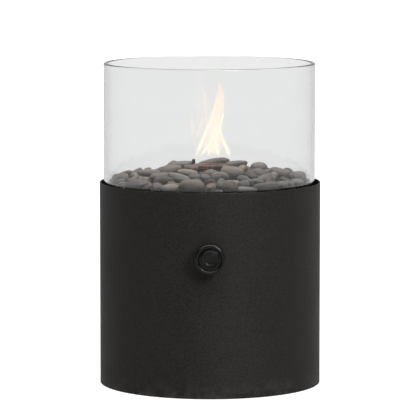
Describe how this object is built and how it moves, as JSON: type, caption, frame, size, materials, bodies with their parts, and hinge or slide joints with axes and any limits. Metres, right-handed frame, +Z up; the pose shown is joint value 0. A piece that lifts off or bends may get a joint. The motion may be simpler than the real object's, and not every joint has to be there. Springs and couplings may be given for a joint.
{
  "type": "tabletop gas fire lantern",
  "caption": "Round black steel gas fire lantern: a clear glass cylinder over a pebble bed and burner, a push-and-turn knob in front, a gas cartridge below.",
  "frame": {"origin": "middle of the bounding box's underside, on the plane that the feet stand on; the mantle's axis stands 10.15 mm behind it, at y = +0.01015", "axes": "+Z up; the knob faces -Y; +X is to the right as seen from the knob's side"},
  "size_m": [0.2, 0.2204, 0.2917],
  "materials": {
    "powder_coat": "satin, finely textured powder coat",
    "zinc_steel": "zinc-plated sheet and screws",
    "stainless": "stainless steel, heat tinted near the flame",
    "brass": "turned brass",
    "clear_glass": "clear, fire-polished edges",
    "river_stone": "smooth tumbled pebbles",
    "rubber": "moulded",
    "black_plastic": "moulded, semi-gloss",
    "ceramic": "glazed ceramic insulator",
    "copper": "drawn copper capillary",
    "lead_sleeve": "silicone sleeve",
    "can_paint": "lacquered steel can"
  },
  "bodies": {
    "housing": {"mantle": "powder_coat", "base_ring": "powder_coat", "stone_tray": "powder_coat", "pebble_bed": "river_stone", "valve_plate": "zinc_steel", "heat_shield": "stainless", "mixing_tube": "stainless", "burner_cup": "stainless", "burner_cap": "stainless", "jet": "brass", "probe_bracket": "zinc_steel", "spark_electrode": "ceramic", "electrode_tip": "stainless", "flame_probe": "stainless", "probe_capillary": "copper", "capillary_nut": "brass", "magnet_unit": "zinc_steel", "valve_body": "brass", "inlet_seal": "rubber", "piezo_igniter": "black_plastic", "piezo_clip": "zinc_steel", "ignition_lead": "lead_sleeve", "rubber_foot_1": "rubber", "rubber_foot_2": "rubber", "rubber_foot_3": "rubber", "rubber_foot_4": "rubber", "plate_tab_1": "zinc_steel", "plate_screw_1": "zinc_steel", "tray_tab_1": "zinc_steel", "standoff_1": "zinc_steel", "shield_screw_1": "zinc_steel", "plate_tab_2": "zinc_steel", "plate_screw_2": "zinc_steel", "tray_tab_2": "zinc_steel", "standoff_2": "zinc_steel", "shield_screw_2": "zinc_steel", "plate_tab_3": "zinc_steel", "plate_screw_3": "zinc_steel", "tray_tab_3": "zinc_steel", "standoff_3": "zinc_steel", "shield_screw_3": "zinc_steel", "valve_screw_1": "zinc_steel", "valve_screw_2": "zinc_steel"},
    "glass": {"glass_cylinder": "clear_glass"},
    "gas_tap": {"valve_plug": "brass", "cam": "black_plastic", "stem_spring": "stainless"},
    "knob": {"stem": "zinc_steel", "spring_collar": "zinc_steel", "knob": "black_plastic", "knob_cap": "black_plastic"},
    "igniter_plunger": {"piezo_plunger": "ceramic"},
    "cartridge": {"gas_cartridge": "can_paint", "cartridge_valve": "stainless"}
  },
  "joints": [
    {"name": "glass_lift", "type": "slide", "parent": "housing", "child": "glass", "axis": [0, 0, 1], "range_m": [0, 0.13]},
    {"name": "cartridge_out", "type": "slide", "parent": "housing", "child": "cartridge", "axis": [0, 0, -1], "range_m": [0, 0.112]},
    {"name": "knob_turn", "type": "hinge", "parent": "housing", "child": "gas_tap", "pos_m": [0, 0.01015, 0.1272], "axis": [0, -1, 0], "range_deg": [0, 90]},
    {"name": "knob_push", "type": "slide", "parent": "gas_tap", "child": "knob", "axis": [0, 1, 0], "range_m": [0, 0.003], "stiffness_N_per_m": 1200, "springref_m": -0.004, "deforming": ["stem_spring"]},
    {"name": "plunger_push", "type": "slide", "parent": "housing", "child": "igniter_plunger", "axis": [1, 0, 0], "range_m": [0, 0.004]}
  ],
  "couplings": [
    {"joint": "plunger_push", "follows": "knob_turn", "m_per_rad": 0.0025}
  ]
}
